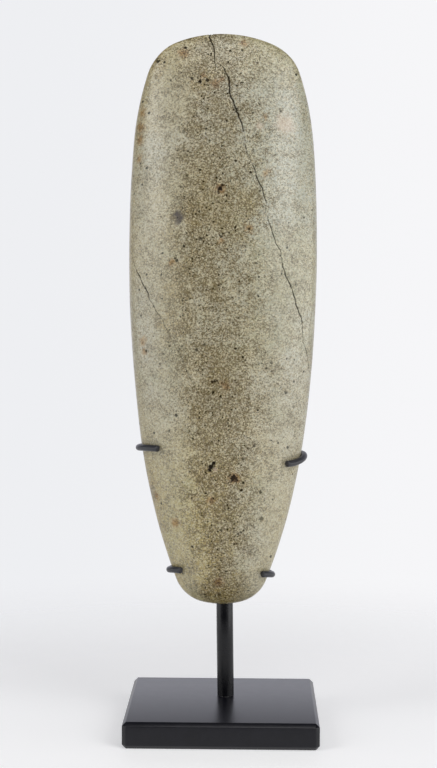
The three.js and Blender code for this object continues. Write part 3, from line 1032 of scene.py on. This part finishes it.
def make_floor():
    """The floor fades into the background further out, for the camera alone."""
    def build(made):
        bmesh.ops.create_circle(made, cap_ends=True, segments=96, radius=FLOOR_RADIUS)

    floor = build_mesh("studio_floor", build)
    material, tree, shader = new_material("pale_floor")
    coords = add(tree, "ShaderNodeTexCoord").outputs["Object"]
    distance = add(tree, "ShaderNodeVectorMath", {0: coords}, operation="LENGTH").outputs["Value"]
    mottle = noise_of(tree, coords, 60 * MM, 2.0, 0.5)
    tone = math_of(tree, "MULTIPLY_ADD", mottle, 0.01, FLOOR_TONE)
    grey = add(tree, "ShaderNodeCombineColor", {0: tone, 1: tone, 2: tone}).outputs[0]
    tree.links.new(grey, shader.inputs["Base Color"])
    shader.inputs["Roughness"].default_value = FLOOR_ROUGHNESS
    shader.inputs["Specular IOR Level"].default_value = 0.3
    shader.inputs["Emission Color"].default_value = BACKGROUND_RIGHT
    shader.inputs["Emission Strength"].default_value = FLOOR_GLOW
    clear = add(tree, "ShaderNodeBsdfTransparent")
    seen = add(tree, "ShaderNodeLightPath").outputs["Is Camera Ray"]
    far = map_range(tree, distance, FLOOR_FADE_START, FLOOR_FADE_END)
    fade = times(tree, seen, far)
    mixed = add(tree, "ShaderNodeMixShader", {0: fade, 1: shader.outputs[0], 2: clear.outputs[0]})
    tree.links.new(mixed.outputs[0], tree.nodes["Material Output"].inputs["Surface"])
    floor.data.materials.append(material)


def make_world():
    """A pale background to look at, and for light a bright backdrop behind with dark above."""
    world = bpy.data.worlds.new("studio")
    world.use_nodes = True
    bpy.context.scene.world = world
    tree = world.node_tree
    shown = tree.nodes["Background"]
    direction = add(tree, "ShaderNodeTexCoord").outputs["Generated"]
    parts = add(tree, "ShaderNodeSeparateXYZ", {0: direction})
    across = map_range(tree, parts.outputs["X"], *BACKGROUND_SPAN)
    background = mix_colours(tree, across, BACKGROUND_LEFT, BACKGROUND_RIGHT)
    tree.links.new(background, shown.inputs["Color"])
    behind = map_range(tree, parts.outputs["Y"], *BACKDROP_BEHIND)
    low = map_range(tree, parts.outputs["Z"], *BACKDROP_HEIGHT)
    backdrop = times(tree, behind, low)
    strength = math_of(tree, "MULTIPLY_ADD", backdrop, BACKDROP_STRENGTH, SURROUND_STRENGTH)
    unseen = add(tree, "ShaderNodeBackground", {"Color": BACKDROP_TINT, "Strength": strength})
    is_camera = add(tree, "ShaderNodeLightPath").outputs["Is Camera Ray"]
    both = add(tree, "ShaderNodeMixShader",
               {0: is_camera, 1: unseen.outputs[0], 2: shown.outputs[0]})
    tree.links.new(both.outputs[0], tree.nodes["World Output"].inputs["Surface"])


def softbox(name, azimuth_degrees, elevation_degrees, width, tall, power):
    """An area light aimed at the middle of the head. The azimuth runs from the front to +X."""
    data = bpy.data.lights.new(name, "AREA")
    data.shape = "RECTANGLE"
    data.size = width
    data.size_y = tall
    data.energy = power
    light = bpy.data.objects.new(name, data)
    azimuth = math.radians(azimuth_degrees)
    elevation = math.radians(elevation_degrees)
    level = math.cos(elevation)
    towards = Vector((math.sin(azimuth) * level, -math.cos(azimuth) * level, math.sin(elevation)))
    place = LIGHT_TARGET + LIGHT_DISTANCE * towards
    light.matrix_world = Matrix.Translation(place) @ (
        (-towards).to_track_quat("-Z", "Y").to_matrix().to_4x4()
    )
    light.visible_camera = False
    bpy.context.scene.collection.objects.link(light)


def make_camera():
    data = bpy.data.cameras.new("camera")
    data.sensor_fit = "VERTICAL"
    data.sensor_height = SENSOR_HEIGHT_MM
    data.lens = FOCAL_PIXELS / PICTURE_HEIGHT_PIXELS * SENSOR_HEIGHT_MM
    data.clip_start = 0.01
    camera = bpy.data.objects.new("camera", data)
    turn = Matrix.Rotation(math.radians(CAMERA_TURN_DEGREES), 4, "Z")
    tilt = Matrix.Rotation(math.radians(90 - CAMERA_TILT_DEGREES), 4, "X")
    roll = Matrix.Rotation(math.radians(CAMERA_ROLL_DEGREES), 4, "Z")
    camera.matrix_world = Matrix.Translation(CAMERA_PLACE) @ turn @ tilt @ roll
    bpy.context.scene.collection.objects.link(camera)
    bpy.context.scene.camera = camera


def dress(piece, material, slot, *nodes):
    piece.data.materials.clear()
    piece.data.materials.append(material)
    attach(piece, "root")
    if nodes:
        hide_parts(*nodes)


make_camera()
make_floor()
make_world()
for softbox_name, setting in SOFTBOXES.items():
    softbox(softbox_name, *setting)
bpy.context.scene.view_settings.view_transform = "Standard"

stone = stone_material()
plate_paint = paint_material(
    "satin_plate_paint", colour(12, 12, 19), roughness_range=(0.285, 0.3),
    refraction=1.4, grain_size=0.5 * MM,
)
bar_paint = paint_material(
    "satin_bar_paint", colour(9, 9, 13), roughness_range=(0.24, 0.28),
    refraction=1.4, grain_size=0.4 * MM,
)
# The wires' paint is a lighter, rougher copy of the bar paint: partly dust, partly painted light for
# the thin wires' brighter look.
wire_paint = paint_material(
    "satin_wire_paint", colour(44, 44, 48), roughness_range=(0.34, 0.42),
    refraction=1.45, grain_size=0.4 * MM,
)

dress(make_axe_head(), stone, "stone", "axe_head")
dress(make_plate(), plate_paint, "plate", "base_plate")
post = swept_bar("post_bar", bent_path(POST_CORNERS), POST_DIAMETER / 2, POST_SIDES)
dress(post, bar_paint, "bar", "post")
dress(make_foot_fillet(), bar_paint, "bar")
for label, cradle in (("lower", LOWER_CRADLE), ("upper", UPPER_CRADLE)):
    wire = swept_bar(label + "_wire", cradle_path(cradle), WIRE_DIAMETER / 2, WIRE_SIDES)
    dress(wire, wire_paint, "bar", label + "_cradle")
    dress(make_braze(label + "_braze", cradle), wire_paint, "bar")
